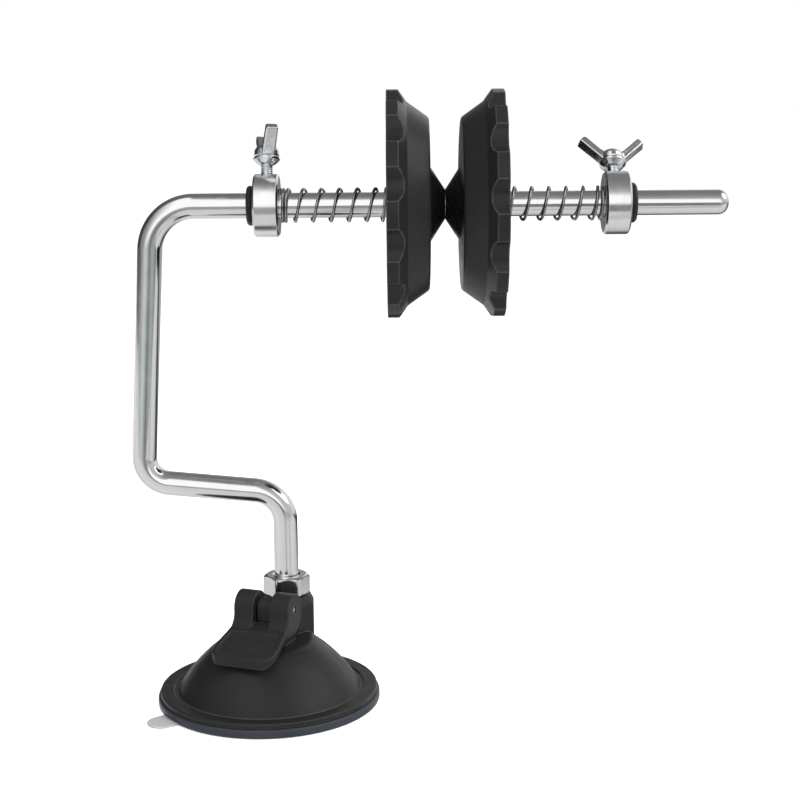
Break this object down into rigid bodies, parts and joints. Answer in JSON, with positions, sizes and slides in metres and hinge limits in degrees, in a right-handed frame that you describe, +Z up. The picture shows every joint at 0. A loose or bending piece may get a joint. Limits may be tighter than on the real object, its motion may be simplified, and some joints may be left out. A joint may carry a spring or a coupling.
{
  "type": "fishing line winder",
  "caption": "Table-top line winder: bent steel rod on a lever suction base, with two spring-loaded taper cones that hold a reel of line on the shaft.",
  "frame": {"origin": "centre of the suction face, where the base stands on the table", "axes": "+Z up; +X along the shaft towards its free end"},
  "size_m": [0.2409, 0.1073, 0.2442],
  "materials": {
    "soft_rubber": "gloss",
    "clear_tab": "translucent",
    "black_plastic": "fine matte grain",
    "insert_brass": "machined",
    "pin_steel": "bright",
    "rod_steel": "polished plate",
    "nut_steel": "bright zinc plate",
    "spring_steel": "bright wire",
    "turned_aluminium": "satin turned",
    "cast_metal": "bright plated casting",
    "black_ring_rubber": "satin",
    "bush_plastic": "natural acetal"
  },
  "bodies": {
    "base": {"suction_cup": "soft_rubber", "release_tab": "clear_tab", "dome_housing": "black_plastic", "threaded_insert": "insert_brass"},
    "draw_stem": {"cup_stem": "black_plastic", "lever_pin": "pin_steel"},
    "lever": {"cam_lever": "black_plastic"},
    "rod": {"bent_rod": "rod_steel"},
    "nut": {"lock_nut": "nut_steel"},
    "left_carriage": {"left_o_ring": "black_ring_rubber", "left_spring": "spring_steel"},
    "left_clamp": {"left_collar": "turned_aluminium"},
    "left_screw": {"left_wing_screw": "cast_metal"},
    "left_pusher": {"left_thrust_washer": "pin_steel"},
    "left_cone": {"left_taper_cone": "black_plastic", "left_hub_bush": "bush_plastic"},
    "right_carriage": {"right_o_ring": "black_ring_rubber", "right_spring": "spring_steel"},
    "right_clamp": {"right_collar": "turned_aluminium"},
    "right_screw": {"right_wing_screw": "cast_metal"},
    "right_pusher": {"right_thrust_washer": "pin_steel"},
    "right_cone": {"right_taper_cone": "black_plastic", "right_hub_bush": "bush_plastic"}
  },
  "joints": [
    {"name": "lever_lift", "type": "hinge", "parent": "draw_stem", "child": "lever", "pos_m": [0, 0, 0.0386], "axis": [-0.9336, 0.3584, 0], "range_deg": [0, 90]},
    {"name": "stem_draw", "type": "slide", "parent": "base", "child": "draw_stem", "axis": [0, 0, 1], "range_m": [-0.0038, 0], "deforming": ["suction_cup"]},
    {"name": "rod_swivel", "type": "hinge", "parent": "base", "child": "rod", "pos_m": [0.00663, 0.01727, 0.039], "axis": [0, 0, 1], "range_deg": [-180, 180]},
    {"name": "lock_nut_turn", "type": "hinge", "parent": "rod", "child": "nut", "pos_m": [0.00663, 0.01727, 0.043], "axis": [0, 0, 1], "range_deg": [0, 360]},
    {"name": "left_set_slide", "type": "slide", "parent": "rod", "child": "left_carriage", "axis": [1, 0, 0], "range_m": [-0.018, 0]},
    {"name": "left_collar_turn", "type": "hinge", "parent": "left_carriage", "child": "left_clamp", "pos_m": [0.00205, 0.01727, 0.19925], "axis": [1, 0, 0], "range_deg": [-180, 180]},
    {"name": "left_wing_screw_turn", "type": "hinge", "parent": "left_clamp", "child": "left_screw", "pos_m": [0.00205, 0.01727, 0.19925], "axis": [0, 0.2504, 0.9681], "range_deg": [0, 720]},
    {"name": "left_cone_press", "type": "slide", "parent": "left_carriage", "child": "left_pusher", "axis": [1, 0, 0], "range_m": [-0.03, 0], "stiffness_N_per_m": 1500, "deforming": ["left_spring"]},
    {"name": "left_cone_spin", "type": "hinge", "parent": "left_pusher", "child": "left_cone", "pos_m": [0.04975, 0.01727, 0.19925], "axis": [1, 0, 0], "continuous": true},
    {"name": "right_set_slide", "type": "slide", "parent": "rod", "child": "right_carriage", "axis": [1, 0, 0], "range_m": [0, 0.115]},
    {"name": "right_collar_turn", "type": "hinge", "parent": "right_carriage", "child": "right_clamp", "pos_m": [0.14085, 0.01727, 0.19925], "axis": [1, 0, 0], "range_deg": [-180, 180]},
    {"name": "right_wing_screw_turn", "type": "hinge", "parent": "right_clamp", "child": "right_screw", "pos_m": [0.14085, 0.01727, 0.19925], "axis": [0, 0.6252, 0.7804], "range_deg": [-300, 720]},
    {"name": "right_cone_press", "type": "slide", "parent": "right_carriage", "child": "right_pusher", "axis": [1, 0, 0], "range_m": [0, 0.028], "stiffness_N_per_m": 1500, "deforming": ["right_spring"]},
    {"name": "right_cone_spin", "type": "hinge", "parent": "right_pusher", "child": "right_cone", "pos_m": [0.09605, 0.01727, 0.19925], "axis": [1, 0, 0], "continuous": true}
  ],
  "couplings": [
    {"joint": "stem_draw", "follows": "lever_lift", "m_per_rad": -0.0024}
  ]
}
